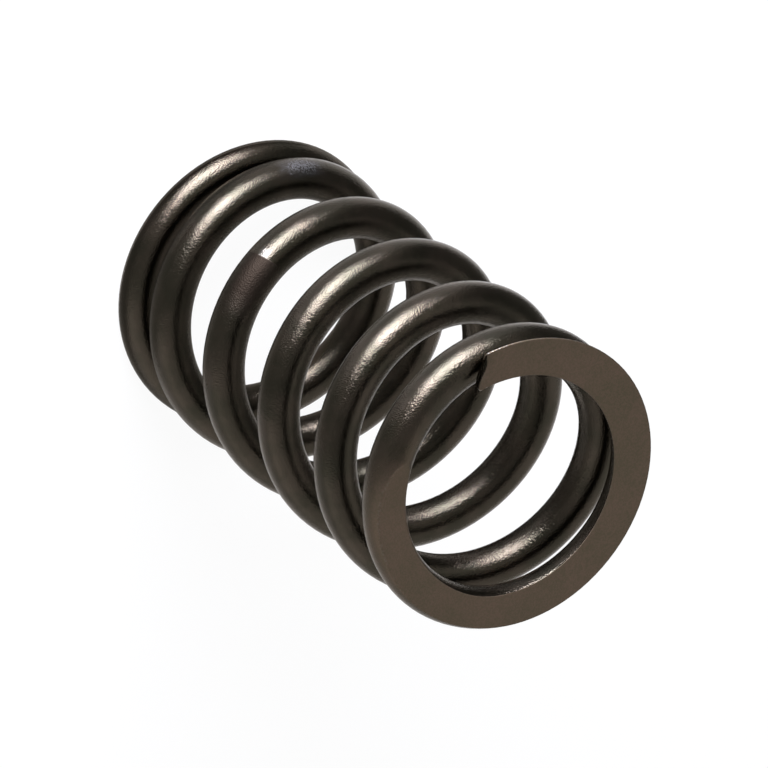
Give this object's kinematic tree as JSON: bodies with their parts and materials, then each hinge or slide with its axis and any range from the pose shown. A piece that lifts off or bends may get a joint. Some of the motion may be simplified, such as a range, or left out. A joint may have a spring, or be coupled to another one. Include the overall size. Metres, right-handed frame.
{
  "type": "engine valve spring",
  "caption": "Right-hand helical compression spring of round steel wire, with closed and flat ground ends, that shuts an engine's valve.",
  "frame": {"origin": "on the coil axis, in the plane of the ground seat end, where the spring stands", "axes": "+Z along the coil axis from the seat end to the retainer end; +X and +Y square to it"},
  "size_m": [0.0294, 0.0292, 0.0503],
  "materials": {
    "spring_steel": "dark tempered and shot-peened wire, with plain ground end faces"
  },
  "bodies": {
    "root": {"valve_spring": "spring_steel"}
  },
  "joints": []
}
